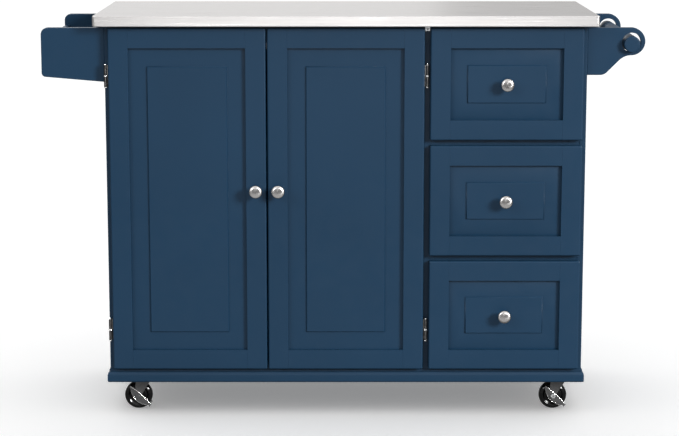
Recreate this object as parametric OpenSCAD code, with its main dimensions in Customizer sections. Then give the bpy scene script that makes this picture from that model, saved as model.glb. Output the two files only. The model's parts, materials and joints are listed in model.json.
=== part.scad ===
// Kitchen island cart: a painted cupboard on casters with a stainless worktop, two doors, three
// drawers, a spice rack on its left side and a loose towel bar on its right side.
// Units are millimetres. The modules work in a bench frame: X = 0 in the middle of the cabinet,
// Y = 0 at the worktop's front edge with +Y towards the back, and Z = 0 on the floor.
// place() then moves the cart so that its own box is centred on X and Y.

/* [Worktop] */
// Width of the worktop
worktop_w = 1119; // [1090:1:1200]
// Depth of the worktop, front to back
worktop_d = 470; // [460:1:560]
// Height of the worktop's edge
worktop_t = 24; // [20:1:40]
// Height of the worktop's upper face above the floor
cart_h = 914; // [890:1:950]

/* [Cabinet] */
// Width of the cabinet over its side panels
cabinet_w = 1076; // [1060:1:1080]
// Worktop's overhang in front of the door and drawer faces
front_overhang = 20; // [12:1:40]
// Worktop's overhang behind the back panel
back_overhang = 10; // [0:1:30]
// Thickness of side panels, divider, shelf and bottom
panel_t = 15; // [12:1:18]
// Thickness of the face frame's stiles and rails
frame_t = 18; // [15:1:22]
// Height of the base moulding's lower edge above the floor
skirt_z = 75; // [70:1:80]
// Height of the base moulding
moulding_h = 30; // [24:1:34]
// How far the base moulding stands out from the cabinet
moulding_t = 6.5; // [4:0.5:10]

/* [Doors] */
// Width of each door
door_w = 350.5; // [340:0.5:352]
// Thickness of doors and drawer fronts
door_t = 16; // [15:1:19]
// Gap between the two doors
door_gap = 3.1; // [2:0.1:6]
// Cabinet edge left uncovered beside a door or drawer front
side_reveal = 9; // [6:0.5:12]
// Clear height between a door's top edge and the worktop
top_reveal = 4; // [3:0.5:8]
// Height of the doors and of the stack of drawer fronts
door_h = 777; // [740:1:778]
// Width of the stiles and rails around each panel
rail_w = 45; // [35:1:60]
// Depth of the recess inside the stiles and rails
recess = 8; // [4:0.5:9]
// Height of the raised field above the recess floor
field_rise = 3.5; // [1:0.5:5]
// Width of the recess floor around the raised field
field_margin = 39.5; // [25:0.5:50]

/* [Drawers] */
// Width of the drawer fronts
drawer_w = 341; // [336:1:342]
// Gap between two drawer fronts
drawer_gap = 12.2; // [8:0.1:16]
// Depth of the drawer boxes
box_d = 350; // [300:1:370]
// Height of the drawer boxes
box_h = 160; // [100:1:170]

/* [Fittings] */
// Diameter of the knobs' heads
knob_d = 30; // [24:1:36]
// How far the knobs stand out
knob_l = 27; // [22:1:34]
// Diameter of the hinge barrels
barrel_d = 8; // [7:0.5:9]
// Length of the hinges between their finials
hinge_l = 48; // [40:1:60]

/* [Spice rack and towel bar] */
// How far the spice rack stands out from the cabinet
rack_w = 141; // [110:1:170]
// Thickness of the rack's end panels and of the towel brackets
bracket_t = 18; // [15:1:22]
// Distance from the cabinet's side to the towel bar's hole
towel_reach = 97.6; // [85:0.1:120]
// Radius of the towel brackets' round ends
bracket_r = 30.7; // [28:0.1:34]
// Diameter of the towel bar
bar_d = 36; // [28:1:36]
// Diameter of the holes that the towel bar lies in
bar_hole_d = 43; // [40:1:46]

/* [Casters] */
// Diameter of the wheels
wheel_d = 64; // [56:1:64]
// Width of the wheels
wheel_w = 22; // [18:1:24]
// Distance from the cabinet's middle to each wheel's centre
wheel_x = 479.3; // [440:0.1:480]
// Distance from the face frame to the front wheels' middle
wheel_inset = 53; // [50:1:70]
// Distance from a caster's swivel axis to its axle
trail = 13; // [10:1:14]

/* [Hidden] */
$fn = 48;

// Colours
NAVY = [0.16, 0.26, 0.36];
STAINLESS = [0.86, 0.85, 0.84];
NICKEL = [0.62, 0.60, 0.57];
ZINC = [0.70, 0.72, 0.74];
BOARD = [0.72, 0.60, 0.45];
DARK_STEEL = [0.22, 0.22, 0.23];
BLACK = [0.05, 0.05, 0.05];

// Working clearances
fit = 0.05;      // a shaft or screw in its own hole, on the radius
gap = 0.3;       // between parts that pass each other
seam = 0.1;      // glue line between two boards

// Worktop
skin_t = 1.2;    // stainless sheet
hem_w = 15;      // sheet folded back under the edge
corner_r = 6;
case_top = cart_h - worktop_t;

// Depths, from front to back
face_y = front_overhang;
door_back_y = face_y + door_t;
leaf_room = 2;   // two hinge leaves between door and frame
frame_y = door_back_y + leaf_room;
shell_y = frame_y + frame_t;
back_y = worktop_d - back_overhang;
back_t = 6;
inner_back_y = back_y - back_t;

// Widths
case_x = cabinet_w / 2;
inner_x = case_x - panel_t;
stile_w = 24;
open_x = inner_x - stile_w;
door_left_x = -case_x + side_reveal;
door_right_x = door_left_x + door_w + door_gap;
drawer_x = case_x - side_reveal - drawer_w;
mid_x = (door_right_x + door_w + drawer_x) / 2;
mid_stile_w = 38;
bay_x0 = mid_x + mid_stile_w / 2;
bay_x1 = open_x;

// Heights
door_top = case_top - top_reveal;
door_z = door_top - door_h;
caster_h = 88;
block_t = 18;
deck_z = caster_h + block_t + panel_t;
top_rail_h = 38;
stretcher_w = 60;
shelf_z = 480;
peg_r = 2.5;
peg_l = 16;
peg_rows = [-64, 0, 64];
peg_ys = [100, 410];

// Drawers are numbered from the top
drawer_h = (door_h - 2 * drawer_gap) / 3;
box_rise = 24;   // from a front's lower edge to its box
box_t = 12;
box_bottom_t = 5;
slide_room = 12.7;
slide_t = 1.2;
slide_half_h = 14.2;
drawer_rail_h = 30;
function drawer_z(n) = door_top - (n + 1) * drawer_h - n * drawer_gap;

// Hinges and knobs
hinge_x = 5.8;                  // pin's distance outside the door's edge
hinge_y = face_y + barrel_d / 2 + 0.5;
hinge_zs = [door_top - 107, door_z + 92];
leaf_t = 0.9;
leaf_w = 14;
pin_r = 1.6;
finial_h = 3;
knob_inset = 23.5;
knob_z = door_z + door_h / 2 + 24;
knob_screw_r = 2;

// Spice rack and towel brackets
end_y0 = frame_y + 2;
end_y1 = back_y - bracket_t;
end_top = case_top - 5;
rack_low = 109;                 // height of the end panels at their outer edge
rack_slope = 12;                // how much deeper they are at the cabinet
rack_board_t = 12;
rack_board_drop = 27;
rack_bottom_t = 10;
rack_corner_r = 15;
rack_foot_r = 9;
towel_x = case_x + towel_reach;
towel_z = end_top - bracket_r;
bracket_h = 105.5;
swell_r = 21;                   // where the underside leaves the flat
cove_r = 38;                    // where it runs into the round end
bar_hole_drop = 2;
bar_z = towel_z - bar_hole_drop - (bar_hole_d - bar_d) / 2 + gap;
bar_y0 = end_y0 - 15;
bar_y1 = back_y + 8;
bar_chamfer = 2;
side_screw_r = 2;
side_screw_bite = 25;
side_screw_zs = [end_top - 85, end_top - 40];   // clear of the top rail

// Casters
axle_r = 4;
axle_z = wheel_d / 2;
plate_w = 58;
plate_t = 2;
plate_hole = 22;                // from the swivel axis to each screw, along X and Y
plate_screw_r = 2;
race_r = 20;
crown_z = 72;
crown_t = 3;
kingpin_r = 5;
leg_y = wheel_w / 2 + 1.5;      // from the wheel's middle to a leg's inner face
leg_t = 2;
lever_y = leg_y + leg_t + gap;
lever_t = 1.5;
lever_lip = 1;                  // rolled edge along the cheek's upper side, wide and proud
// A caster is [wheel's x, wheel's y]; the swivel axis stands trail to the right of it
CASTERS = [
    [-wheel_x, frame_y + wheel_inset], [wheel_x, frame_y + wheel_inset],
    [-wheel_x, back_y - wheel_inset], [wheel_x, back_y - wheel_inset]
];

// The whole cart's box
x_lo = -case_x - rack_w;
x_hi = towel_x + bracket_r;
y_lo = face_y - knob_l;
y_hi = max(worktop_d, bar_y1);

// ---------------------------------------------------------------- helpers

module place() {
    translate([-(x_lo + x_hi) / 2, -(y_lo + y_hi) / 2, 0]) children();
}

// A box given by its limits on each axis
module block(x, y, z) {
    translate([x[0], y[0], z[0]]) cube([x[1] - x[0], y[1] - y[0], z[1] - z[0]]);
}

// A cylinder along X, Y or Z that starts at p
module rod_x(p, r, l) {
    translate(p) rotate([0, 90, 0]) cylinder(r = r, h = l);
}

module rod_y(p, r, l) {
    translate(p) rotate([-90, 0, 0]) cylinder(r = r, h = l);
}

module rod_z(p, r, l) {
    translate(p) cylinder(r = r, h = l);
}

// A rectangle with round corners, centred
module rounded_rect(w, d, r) {
    square([w - 2 * r, d], center = true);
    square([w, d - 2 * r], center = true);
    for (x = [-1, 1], y = [-1, 1])
        translate([x * (w / 2 - r), y * (d / 2 - r)]) circle(r);
}

// An outline drawn in X and Z becomes a plate that starts at y and is t thick
module plate_xz(y, t) {
    translate([0, y + t, 0]) rotate([90, 0, 0]) linear_extrude(t) children();
}

// ---------------------------------------------------------------- worktop

module worktop_slab(shrink, z0, z1) {
    translate([0, worktop_d / 2, z0]) linear_extrude(z1 - z0)
        rounded_rect(worktop_w - 2 * shrink, worktop_d - 2 * shrink, max(corner_r - shrink, 1));
}

module worktop_skin() color(STAINLESS) {
    difference() {
        worktop_slab(0, case_top, cart_h);
        worktop_slab(skin_t, case_top + skin_t, cart_h - skin_t);
        worktop_slab(hem_w, case_top - 1, case_top + 2 * skin_t);
    }
}

module worktop_core() color(BOARD) {
    worktop_slab(skin_t, case_top + skin_t, cart_h - skin_t);
    worktop_slab(hem_w, case_top, case_top + 2 * skin_t);
}

// Small angle clip that ties the middle stile to the worktop, with its screw
module worktop_clip() color(ZINC) {
    clip_w = 11;
    clip_h = 12;
    clip_t = 1.2;
    block([mid_x - clip_w / 2, mid_x + clip_w / 2], [frame_y - clip_t, frame_y],
          [case_top - clip_h, case_top]);
    block([mid_x - clip_w / 2, mid_x + clip_w / 2], [face_y + 1, frame_y],
          [case_top - clip_t, case_top]);
    rod_y([mid_x, frame_y - 2 * clip_t, case_top - 0.6 * clip_h], 2.6, 2 * clip_t);
}

// ---------------------------------------------------------------- cabinet

// Screws that hold the rack's ends (side -1) or the towel brackets (side 1). The front ones pass
// through the face frame's stile as well. Each is [inner x, y, z].
function side_screws_at(side) = [
    for (z = side_screw_zs, front = [true, false])
        [side * (front ? open_x : inner_x), front ? end_y0 + bracket_t / 2 : end_y1 + 6, z]
];

module side_screw_holes(side) {
    for (p = side_screws_at(side))
        rod_x([side > 0 ? p[0] - 1 : -case_x - side_screw_bite, p[1], p[2]],
              side_screw_r + fit, case_x + side_screw_bite + 1 - abs(p[0]));
}

module peg_holes(x) {
    for (y = peg_ys, row = peg_rows)
        rod_x([x, y, shelf_z - peg_r - gap + row], peg_r + fit, peg_l);
}

module side_left() color(NAVY) difference() {
    block([-case_x, -inner_x], [frame_y, back_y], [skirt_z, case_top]);
    side_screw_holes(-1);
    peg_holes(-inner_x - peg_l / 2);
}

module side_right() color(NAVY) difference() {
    block([inner_x, case_x], [frame_y, back_y], [skirt_z, case_top]);
    side_screw_holes(1);
}

module back_panel() color(NAVY)
    block([-inner_x, inner_x], [inner_back_y, back_y], [skirt_z, case_top]);

module divider() color(NAVY) difference() {
    block([mid_x - panel_t / 2, mid_x + panel_t / 2], [shell_y, inner_back_y],
          [deck_z, case_top - panel_t]);
    peg_holes(mid_x - panel_t / 2 - peg_l / 2);
}

module bottom_panel() color(NAVY)
    block([-inner_x, inner_x], [shell_y, inner_back_y], [deck_z - panel_t, deck_z]);

module stretchers() color(BOARD)
    for (y = [shell_y, inner_back_y - stretcher_w])
        block([-inner_x, inner_x], [y, y + stretcher_w], [case_top - panel_t, case_top]);

module face_stiles() color(NAVY) {
    for (side = [-1, 1]) difference() {
        block(side > 0 ? [open_x, inner_x] : [-inner_x, -open_x], [frame_y, shell_y],
              [skirt_z, case_top]);
        side_screw_holes(side);
    }
    block([mid_x - mid_stile_w / 2, bay_x0], [frame_y, shell_y], [deck_z, case_top - top_rail_h]);
}

module face_rails() color(NAVY) {
    block([-open_x, open_x], [frame_y, shell_y], [skirt_z, deck_z]);
    block([-open_x, open_x], [frame_y, shell_y], [case_top - top_rail_h, case_top]);
    for (n = [0, 1]) {
        z = drawer_z(n) - drawer_gap / 2;
        block([bay_x0, bay_x1], [frame_y, shell_y], [z - drawer_rail_h / 2, z + drawer_rail_h / 2]);
    }
}

// One mitred strip along X, its face towards -Y: a flat face under a sloping top
module moulding_strip(l) {
    slope_h = 12;
    chamfer = 1.5;
    half = (l - seam) / 2;
    intersection() {
        rotate([90, 0, 90]) translate([0, 0, -half]) linear_extrude(2 * half)
            polygon([[0, 0], [0, moulding_h], [-moulding_t, moulding_h - slope_h],
                     [-moulding_t, chamfer], [-moulding_t + chamfer, 0]]);
        linear_extrude(moulding_h)
            polygon([[-half, -moulding_t], [half, -moulding_t],
                     [half - moulding_t, 0], [moulding_t - half, 0]]);
    }
}

module base_moulding() color(NAVY) translate([0, (frame_y + back_y) / 2, skirt_z]) {
    w = cabinet_w + 2 * moulding_t;
    d = back_y - frame_y + 2 * moulding_t;
    for (turn = [0, 180]) rotate(turn) {
        translate([0, -d / 2 + moulding_t, 0]) moulding_strip(w);
        rotate(90) translate([0, -w / 2 + moulding_t, 0]) moulding_strip(d);
    }
}

module caster_blocks() color(BOARD) {
    block_w = 90;
    block_d = 80;
    for (x = [-inner_x, inner_x - block_w], y = [shell_y, inner_back_y - block_d])
        difference() {
            block([x, x + block_w], [y, y + block_d], [caster_h, caster_h + block_t]);
            for (c = CASTERS) caster_screw_holes(c, caster_h - 1, block_t);
        }
}

module shelf() color(NAVY)
    block([1 - inner_x, mid_x - panel_t / 2 - 1], [shell_y + 14, inner_back_y - 4],
          [shelf_z, shelf_z + panel_t]);

module shelf_pegs() color(ZINC)
    for (x = [-inner_x, mid_x - panel_t / 2], y = peg_ys)
        rod_x([x - peg_l / 2 + fit, y, shelf_z - peg_r - gap], peg_r, peg_l - 2 * fit);

// Double magnet block behind the meeting edges of the two doors
module magnetic_catch() color(ZINC) {
    x = door_right_x - door_gap / 2;
    block([x - 24, x + 24], [frame_y + 1, shell_y + 4],
          [case_top - top_rail_h - 14, case_top - top_rail_h]);
}

// ---------------------------------------------------------------- drawer slides

function slide_z(n) = drawer_z(n) + box_rise + box_h / 2;

module slide_cleats() color(BOARD)
    for (n = [0:2], x = [[mid_x + panel_t / 2, bay_x0], [bay_x1, inner_x]])
        block(x, [shell_y, shell_y + box_d], [slide_z(n) - 20, slide_z(n) + 20]);

// A channel with its web at x and its flanges towards dir, open on that side
module slide_channel(x, dir, y, l, half_h, flange) {
    web = dir > 0 ? [x, x + slide_t] : [x - slide_t, x];
    reach = dir > 0 ? [x, x + flange] : [x - flange, x];
    block(web, [y, y + l], [-half_h, half_h]);
    for (z = [-half_h, half_h - slide_t])
        block(reach, [y, y + l], [z, z + slide_t]);
}

module slide_channels() color(ZINC)
    for (n = [0:2]) translate([0, 0, slide_z(n)]) {
        outer_half_h = slide_half_h + slide_t + 0.2;
        slide_channel(bay_x0, 1, shell_y + 2, box_d - 4, outer_half_h, 9);
        slide_channel(bay_x1, -1, shell_y + 2, box_d - 4, outer_half_h, 9);
    }

module drawer_runners(n) color(ZINC)
    translate([0, 0, slide_z(n)]) {
        slide_channel(bay_x0 + slide_room, -1, door_back_y + 22, box_d - 24, slide_half_h, 10);
        slide_channel(bay_x1 - slide_room, 1, door_back_y + 22, box_d - 24, slide_half_h, 10);
    }

// ---------------------------------------------------------------- doors and drawers

// Two stiles and two rails round an opening, with its lower left front corner at x, z
module panel_frame(x, z, w, h) {
    y = [face_y, door_back_y];
    for (side = [0, w - rail_w]) block([x + side, x + side + rail_w], y, [z, z + h]);
    for (side = [0, h - rail_w])
        block([x + rail_w + seam, x + w - rail_w - seam], y, [z + side, z + side + rail_w]);
}

// The panel inside those stiles and rails, with its raised field
module field_panel(x, z, w, h) {
    edge = rail_w + seam;
    m = rail_w + field_margin;
    floor_y = face_y + recess;
    block([x + edge, x + w - edge], [floor_y, door_back_y - 1], [z + edge, z + h - edge]);
    block([x + m, x + w - m], [floor_y - field_rise, floor_y + 1], [z + m, z + h - m]);
}

// Mushroom knob with a domed face, standing out from the front at x, z, and its screw
module knob(x, z, screw_l) {
    r = knob_d / 2;
    translate([x, face_y, z]) rotate([90, 0, 0]) {
        rotate_extrude() difference() {
            union() {
                square([7, 2]);
                square([5, knob_l - 8]);
                translate([0, knob_l - 10.5]) polygon([[0, 0], [5, 0], [r - 2, 4.5], [r, 6], [r, 7.5],
                    [r - 1.5, 8.8], [r - 6, 10], [0, 10.5]]);
            }
            translate([-1, -1]) square([1 + knob_screw_r, 9]);
        }
        translate([0, 0, -screw_l]) cylinder(r = knob_screw_r - fit, h = screw_l + 8 - fit);
        translate([0, 0, -screw_l - 2]) cylinder(r = 4, h = 2);
    }
}

module knob_hole(x, y, z, l) {
    rod_y([x, y - 1, z], knob_screw_r, l + 2);
}

door_knob_xs = [door_left_x + door_w - knob_inset, door_right_x + knob_inset];
drawer_knob_x = drawer_x + drawer_w / 2;
function drawer_knob_z(n) = drawer_z(n) + drawer_h / 2;

module door_frame(n) color(NAVY) difference() {
    panel_frame(n == 0 ? door_left_x : door_right_x, door_z, door_w, door_h);
    knob_hole(door_knob_xs[n], face_y, knob_z, door_t);
}

module door_panel(n) color(NAVY)
    field_panel(n == 0 ? door_left_x : door_right_x, door_z, door_w, door_h);

module door_knob(n) color(NICKEL) knob(door_knob_xs[n], knob_z, door_t);

// Steel plate on the door's back that meets the magnet
module door_strike(n) color(ZINC) {
    x = door_right_x - door_gap / 2 + (n == 0 ? -22 : 4);
    block([x, x + 18], [door_back_y, door_back_y + 1.2],
          [case_top - top_rail_h - 13, case_top - top_rail_h - 1]);
}

module drawer_front(n) color(NAVY) {
    panel_frame(drawer_x, drawer_z(n), drawer_w, drawer_h);
    difference() {
        field_panel(drawer_x, drawer_z(n), drawer_w, drawer_h);
        knob_hole(drawer_knob_x, face_y, drawer_knob_z(n), door_t);
    }
}

// The field is recessed, so a drawer's knob is set back onto it
module drawer_knob(n) color(NICKEL)
    translate([0, recess - field_rise, 0])
        knob(drawer_knob_x, drawer_knob_z(n), door_t - recess + field_rise + box_t);

module drawer_box(n) color(BOARD) {
    x = [bay_x0 + slide_room, bay_x1 - slide_room];
    y = [door_back_y, door_back_y + box_d];
    z = [drawer_z(n) + box_rise, drawer_z(n) + box_rise + box_h];
    between = [x[0] + box_t + seam, x[1] - box_t - seam];
    block([x[0], x[0] + box_t], y, z);
    block([x[1] - box_t, x[1]], y, z);
    difference() {
        block(between, [y[0], y[0] + box_t], z);
        knob_hole(drawer_knob_x, y[0], drawer_knob_z(n), box_t);
    }
    block(between, [y[1] - box_t, y[1]], z);
    block(between, [y[0] + box_t + seam, y[1] - box_t - seam], [z[0] + 8, z[0] + 8 + box_bottom_t]);
}

// ---------------------------------------------------------------- hinges

// Hinge parts for the left door, with the pin on the Z axis at the origin and the door towards +X.
// Each leaf keeps clear of the other one's knuckle. Part 0 has the lower knuckle, part 1 the upper.
module hinge_part(part) {
    half = hinge_l / 2;
    z = part == 0 ? [-half, -gap / 2] : [gap / 2, half];
    difference() {
        union() {
            rod_z([0, 0, z[0]], barrel_d / 2, z[1] - z[0]);
            children();
        }
        rod_z([0, 0, -half - 1], pin_r + fit, hinge_l + 2);
    }
}

// Runs straight back from the barrel and turns under the door, onto the frame
module hinge_frame_leaf() {
    half = hinge_l / 2;
    web = [-leaf_t / 2, leaf_t / 2];
    foot_y = frame_y - hinge_y - fit;
    hinge_part(0) {
        block(web, [0, foot_y], [-half, -gap / 2]);
        block(web, [barrel_d / 2 + gap, foot_y], [-half, half]);
        block([-leaf_t / 2, leaf_w], [foot_y - leaf_t, foot_y], [-half, half]);
    }
}

// Wraps the door's edge and turns onto its back
module hinge_door_leaf() {
    half = hinge_l / 2;
    web = [hinge_x - leaf_t, hinge_x];
    wrap_y = door_back_y - hinge_y;
    hinge_part(1) {
        block([0, hinge_x], [-leaf_t / 2, leaf_t / 2], [gap / 2, half]);
        block(web, [-leaf_t / 2, wrap_y + leaf_t], [-half, half]);
        block([hinge_x - leaf_t, leaf_w], [wrap_y, wrap_y + leaf_t], [-half, half]);
    }
}

module hinge_pin() {
    rod_z([0, 0, -hinge_l / 2 - gap], pin_r, hinge_l + 2 * gap);
    for (end = [0, 1]) mirror([0, 0, end])
        translate([0, 0, hinge_l / 2 + gap])
            rotate_extrude() polygon([[0, 0], [barrel_d / 2 - 0.4, 0], [1.6, finial_h], [0, finial_h]]);
}

// Places a left-hand hinge on the left door (n = 0) or, mirrored, on the right door (n = 1)
module at_hinges(n) {
    x = n == 0 ? door_left_x - hinge_x : door_right_x + door_w + hinge_x;
    for (z = hinge_zs) translate([x, hinge_y, z]) mirror([n, 0, 0]) children();
}

module hinge_frame_leaves() color(NICKEL)
    for (n = [0, 1]) at_hinges(n) {
        hinge_frame_leaf();
        hinge_pin();
    }

module door_hinge_leaves(n) color(NICKEL)
    at_hinges(n) hinge_door_leaf();

// ---------------------------------------------------------------- spice rack and towel bar

module rack_outline() {
    x0 = -case_x - rack_w;
    low = end_top - rack_low;
    difference() {
        polygon([[x0, end_top], [x0, low], [-case_x, low - rack_slope], [-case_x, end_top]]);
        corner_cut(x0, end_top, rack_corner_r, -1);
        corner_cut(x0, low, rack_foot_r, 1);
    }
}

// What a round corner of radius r takes off a corner at x, z whose side runs up (1) or down (-1)
module corner_cut(x, z, r, up) {
    difference() {
        translate([x - 1, up > 0 ? z - 2 : z - r]) square([r + 1, r + 2]);
        translate([x + r, z + up * r]) circle(r);
    }
}

module rack_end(y) color(NAVY) difference() {
    plate_xz(y, bracket_t) rack_outline();
    side_screw_holes(-1);
}

module rack_board() color(NAVY) {
    x0 = -case_x - rack_w;
    block([x0, x0 + rack_board_t], [end_y0 + bracket_t, end_y1],
          [end_top - rack_low + 6, end_top - rack_board_drop]);
}

module rack_bottom() color(NAVY) {
    z0 = end_top - rack_low + 6;
    block([-case_x - rack_w + rack_board_t, -case_x], [end_y0 + bracket_t, end_y1],
          [z0, z0 + rack_bottom_t]);
}

// Points along an arc from angle a0 to a1, as seen in the outline
function arc(centre, r, a0, a1, steps = 10) = [
    for (i = [0:steps]) let (a = a0 + (a1 - a0) * i / steps) centre + r * [cos(a), sin(a)]
];

// Round end for the bar's hole, joined to a flat underside by a swell, a 45 degree slope and a cove
module towel_outline() {
    low = end_top - bracket_h;
    rise = towel_z - bracket_r - low;
    run = rise + (swell_r + cove_r) * (sqrt(2) - 1);
    polygon(concat(
        [[case_x, end_top], [case_x, low]],
        arc([towel_x - run, low + swell_r], swell_r, -90, -45),
        arc([towel_x, low + rise - cove_r], cove_r, 135, 90),
        [[towel_x, end_top]]
    ));
    translate([towel_x, towel_z]) circle(bracket_r);
}

module towel_bracket(y) color(NAVY) difference() {
    plate_xz(y, bracket_t) towel_outline();
    rod_y([towel_x, y - 1, towel_z - bar_hole_drop], bar_hole_d / 2, bracket_t + 2);
    side_screw_holes(1);
}

module towel_bar() color(NAVY)
    translate([towel_x, bar_y1, bar_z]) rotate([90, 0, 0]) rotate_extrude() {
        r = bar_d / 2;
        l = bar_y1 - bar_y0;
        polygon([[0, 0], [r - bar_chamfer, 0], [r, bar_chamfer], [r, l - bar_chamfer],
                 [r - bar_chamfer, l], [0, l]]);
    }

module side_screws() color(ZINC)
    for (side = [-1, 1], p = side_screws_at(side)) {
        l = case_x + side_screw_bite - abs(p[0]) - 1;
        mirror([side > 0 ? 0 : 1, 0, 0]) {
            rod_x([abs(p[0]), p[1], p[2]], side_screw_r, l);
            rod_x([abs(p[0]) - 2, p[1], p[2]], 4, 2);
        }
    }

// ---------------------------------------------------------------- casters

module caster_screw_holes(c, z, l) {
    for (x = [-1, 1], y = [-1, 1])
        rod_z([c[0] + trail + x * plate_hole, c[1] + y * plate_hole, z], plate_screw_r + fit, l);
}

// Top plate, ball race housing and kingpin of each caster, with its four screws
module caster_plates() color(ZINC)
    for (c = CASTERS) {
        difference() {
            translate([c[0] + trail, c[1], caster_h - plate_t]) linear_extrude(plate_t)
                rounded_rect(plate_w, plate_w, 5);
            caster_screw_holes(c, caster_h - plate_t - 1, plate_t + 2);
        }
        translate([c[0] + trail, c[1], 0]) {
            rod_z([0, 0, crown_z + crown_t + gap], race_r, caster_h - plate_t - crown_z - crown_t - gap);
            rod_z([0, 0, crown_z - gap], kingpin_r, crown_t + 2 * gap);
            rod_z([0, 0, crown_z - gap - 2], kingpin_r + 3, 2);
        }
        for (x = [-1, 1], y = [-1, 1])
            translate([c[0] + trail + x * plate_hole, c[1] + y * plate_hole, caster_h - plate_t]) {
                rod_z([0, 0, -fit], plate_screw_r, 15);
                rod_z([0, 0, -2 - fit], 4, 2);
            }
    }

// Swivelling fork with its axle bolt and nut
module caster_fork(n) color(DARK_STEEL) {
    c = CASTERS[n];
    crown_half = race_r - 2;
    translate([c[0], c[1], 0]) {
        difference() {
            union() {
                rod_z([trail, 0, crown_z], race_r, crown_t);
                block([trail - crown_half, trail + crown_half], [-leg_y - leg_t, leg_y + leg_t],
                      [crown_z, crown_z + crown_t]);
            }
            rod_z([trail, 0, crown_z - 1], kingpin_r + fit, crown_t + 2);
        }
        for (y = [-leg_y - leg_t, leg_y])
            difference() {
                plate_xz(y, leg_t) {
                    translate([0, axle_z]) circle(9);
                    polygon([[-8.5, axle_z + 3], [trail - crown_half, crown_z],
                             [trail + crown_half, crown_z], [8.5, axle_z + 3]]);
                }
                rod_y([0, y - 1, axle_z], axle_r, leg_t + 2);
            }
        rod_y([0, -lever_y - lever_t - gap, axle_z], axle_r - fit, 2 * (lever_y + lever_t + gap));
        for (y = [-lever_y - lever_t - gap - 4, lever_y + lever_t + gap])
            translate([0, y, axle_z]) rotate([-90, 0, 0]) cylinder(r = 6, h = 4, $fn = 6);
    }
}

// Wheel with a round-shouldered tread and a dished hub, turning on the axle
module caster_wheel(n) color(BLACK) {
    c = CASTERS[n];
    r = wheel_d / 2;
    h = wheel_w / 2;
    half = [[axle_r + fit, h + 0.5], [9, h + 0.5], [10, h - 3], [r - 10, h - 3], [r - 9, h],
            [r - 3, h], [r - 0.8, h - 1.2], [r, h - 3.5]];
    other_half = [for (i = [len(half) - 1:-1:0]) [half[i][0], -half[i][1]]];
    translate([c[0], c[1], axle_z]) rotate([90, 0, 0]) rotate_extrude($fn = 96)
        polygon(concat(half, other_half));
}

// Leaf-shaped lever plate between the tips of a chord that slopes down to the right
module lever_outline(drop = 0) {
    chord = 66;
    belly = 16;
    back = 2.7;
    belly_r = (pow(chord / 2, 2) + belly * belly) / (2 * belly);
    back_r = (pow(chord / 2, 2) + back * back) / (2 * back);
    rotate(-43) translate([4.5, 4.5 - drop]) intersection() {
        translate([0, belly_r - belly]) circle(belly_r);
        translate([0, back - back_r]) circle(back_r, $fn = 180);
    }
}

module lever_edge() difference() {
    lever_outline();
    lever_outline(lever_lip);
}

// Brake lever astride the fork, pedal down to the right
module brake_lever(n) color(DARK_STEEL) {
    c = CASTERS[n];
    pedal_r = wheel_d / 2 + 2.5;
    translate([c[0], c[1], axle_z]) {
        for (y = [-lever_y - lever_t, lever_y])
            difference() {
                plate_xz(y, lever_t) lever_outline();
                rod_y([0, y - 1, 0], axle_r + fit, lever_t + 2);
            }
        for (y = [-lever_y - lever_t - lever_lip, lever_y + lever_t])
            plate_xz(y, lever_lip) lever_edge();
        rotate([0, 43, 0])
            block([pedal_r, pedal_r + 2], [-lever_y - lever_t, lever_y + lever_t], [-4, 1.5]);
    }
}

// ---------------------------------------------------------------- nodes

place() worktop_skin();
place() worktop_core();
place() worktop_clip();
place() side_left();
place() side_right();
place() back_panel();
place() divider();
place() bottom_panel();
place() stretchers();
place() face_stiles();
place() face_rails();
place() base_moulding();
place() caster_blocks();
place() shelf();
place() shelf_pegs();
place() slide_cleats();
place() slide_channels();
place() magnetic_catch();
place() hinge_frame_leaves();
place() rack_end(end_y0);  // rack_end_front
place() rack_end(end_y1);  // rack_end_back
place() rack_board();
place() rack_bottom();
place() towel_bracket(end_y0);  // towel_bracket_front
place() towel_bracket(end_y1);  // towel_bracket_back
place() side_screws();
place() towel_bar();
place() door_frame(0);  // door_left_frame
place() door_panel(0);  // door_left_panel
place() door_knob(0);  // door_left_knob
place() door_hinge_leaves(0);  // door_left_hinge_leaves
place() door_strike(0);  // door_left_strike
place() door_frame(1);  // door_right_frame
place() door_panel(1);  // door_right_panel
place() door_knob(1);  // door_right_knob
place() door_hinge_leaves(1);  // door_right_hinge_leaves
place() door_strike(1);  // door_right_strike
place() drawer_front(0);  // drawer_1_front
place() drawer_knob(0);  // drawer_1_knob
place() drawer_box(0);  // drawer_1_box
place() drawer_runners(0);  // drawer_1_runners
place() drawer_front(1);  // drawer_2_front
place() drawer_knob(1);  // drawer_2_knob
place() drawer_box(1);  // drawer_2_box
place() drawer_runners(1);  // drawer_2_runners
place() drawer_front(2);  // drawer_3_front
place() drawer_knob(2);  // drawer_3_knob
place() drawer_box(2);  // drawer_3_box
place() drawer_runners(2);  // drawer_3_runners
place() caster_plates();
place() caster_fork(0);  // caster_fl_fork
place() caster_fork(1);  // caster_fr_fork
place() caster_fork(2);  // caster_rl_fork
place() caster_fork(3);  // caster_rr_fork
place() caster_wheel(0);  // caster_fl_wheel
place() caster_wheel(1);  // caster_fr_wheel
place() caster_wheel(2);  // caster_rl_wheel
place() caster_wheel(3);  // caster_rr_wheel
place() brake_lever(0);  // brake_left
place() brake_lever(1);  // brake_right
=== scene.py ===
"""Looks for the kitchen island cart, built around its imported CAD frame.

Every length here is in metres in the CAD's own frame: X runs along the cart, Y from the doors to
the back, Z up. Boards, turned parts and plates are rebuilt with rounded edges from the boxes of the
CAD solids that they replace.
"""

import json
import math

import bmesh
import bpy
from mathutils import Matrix, Vector


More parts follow.
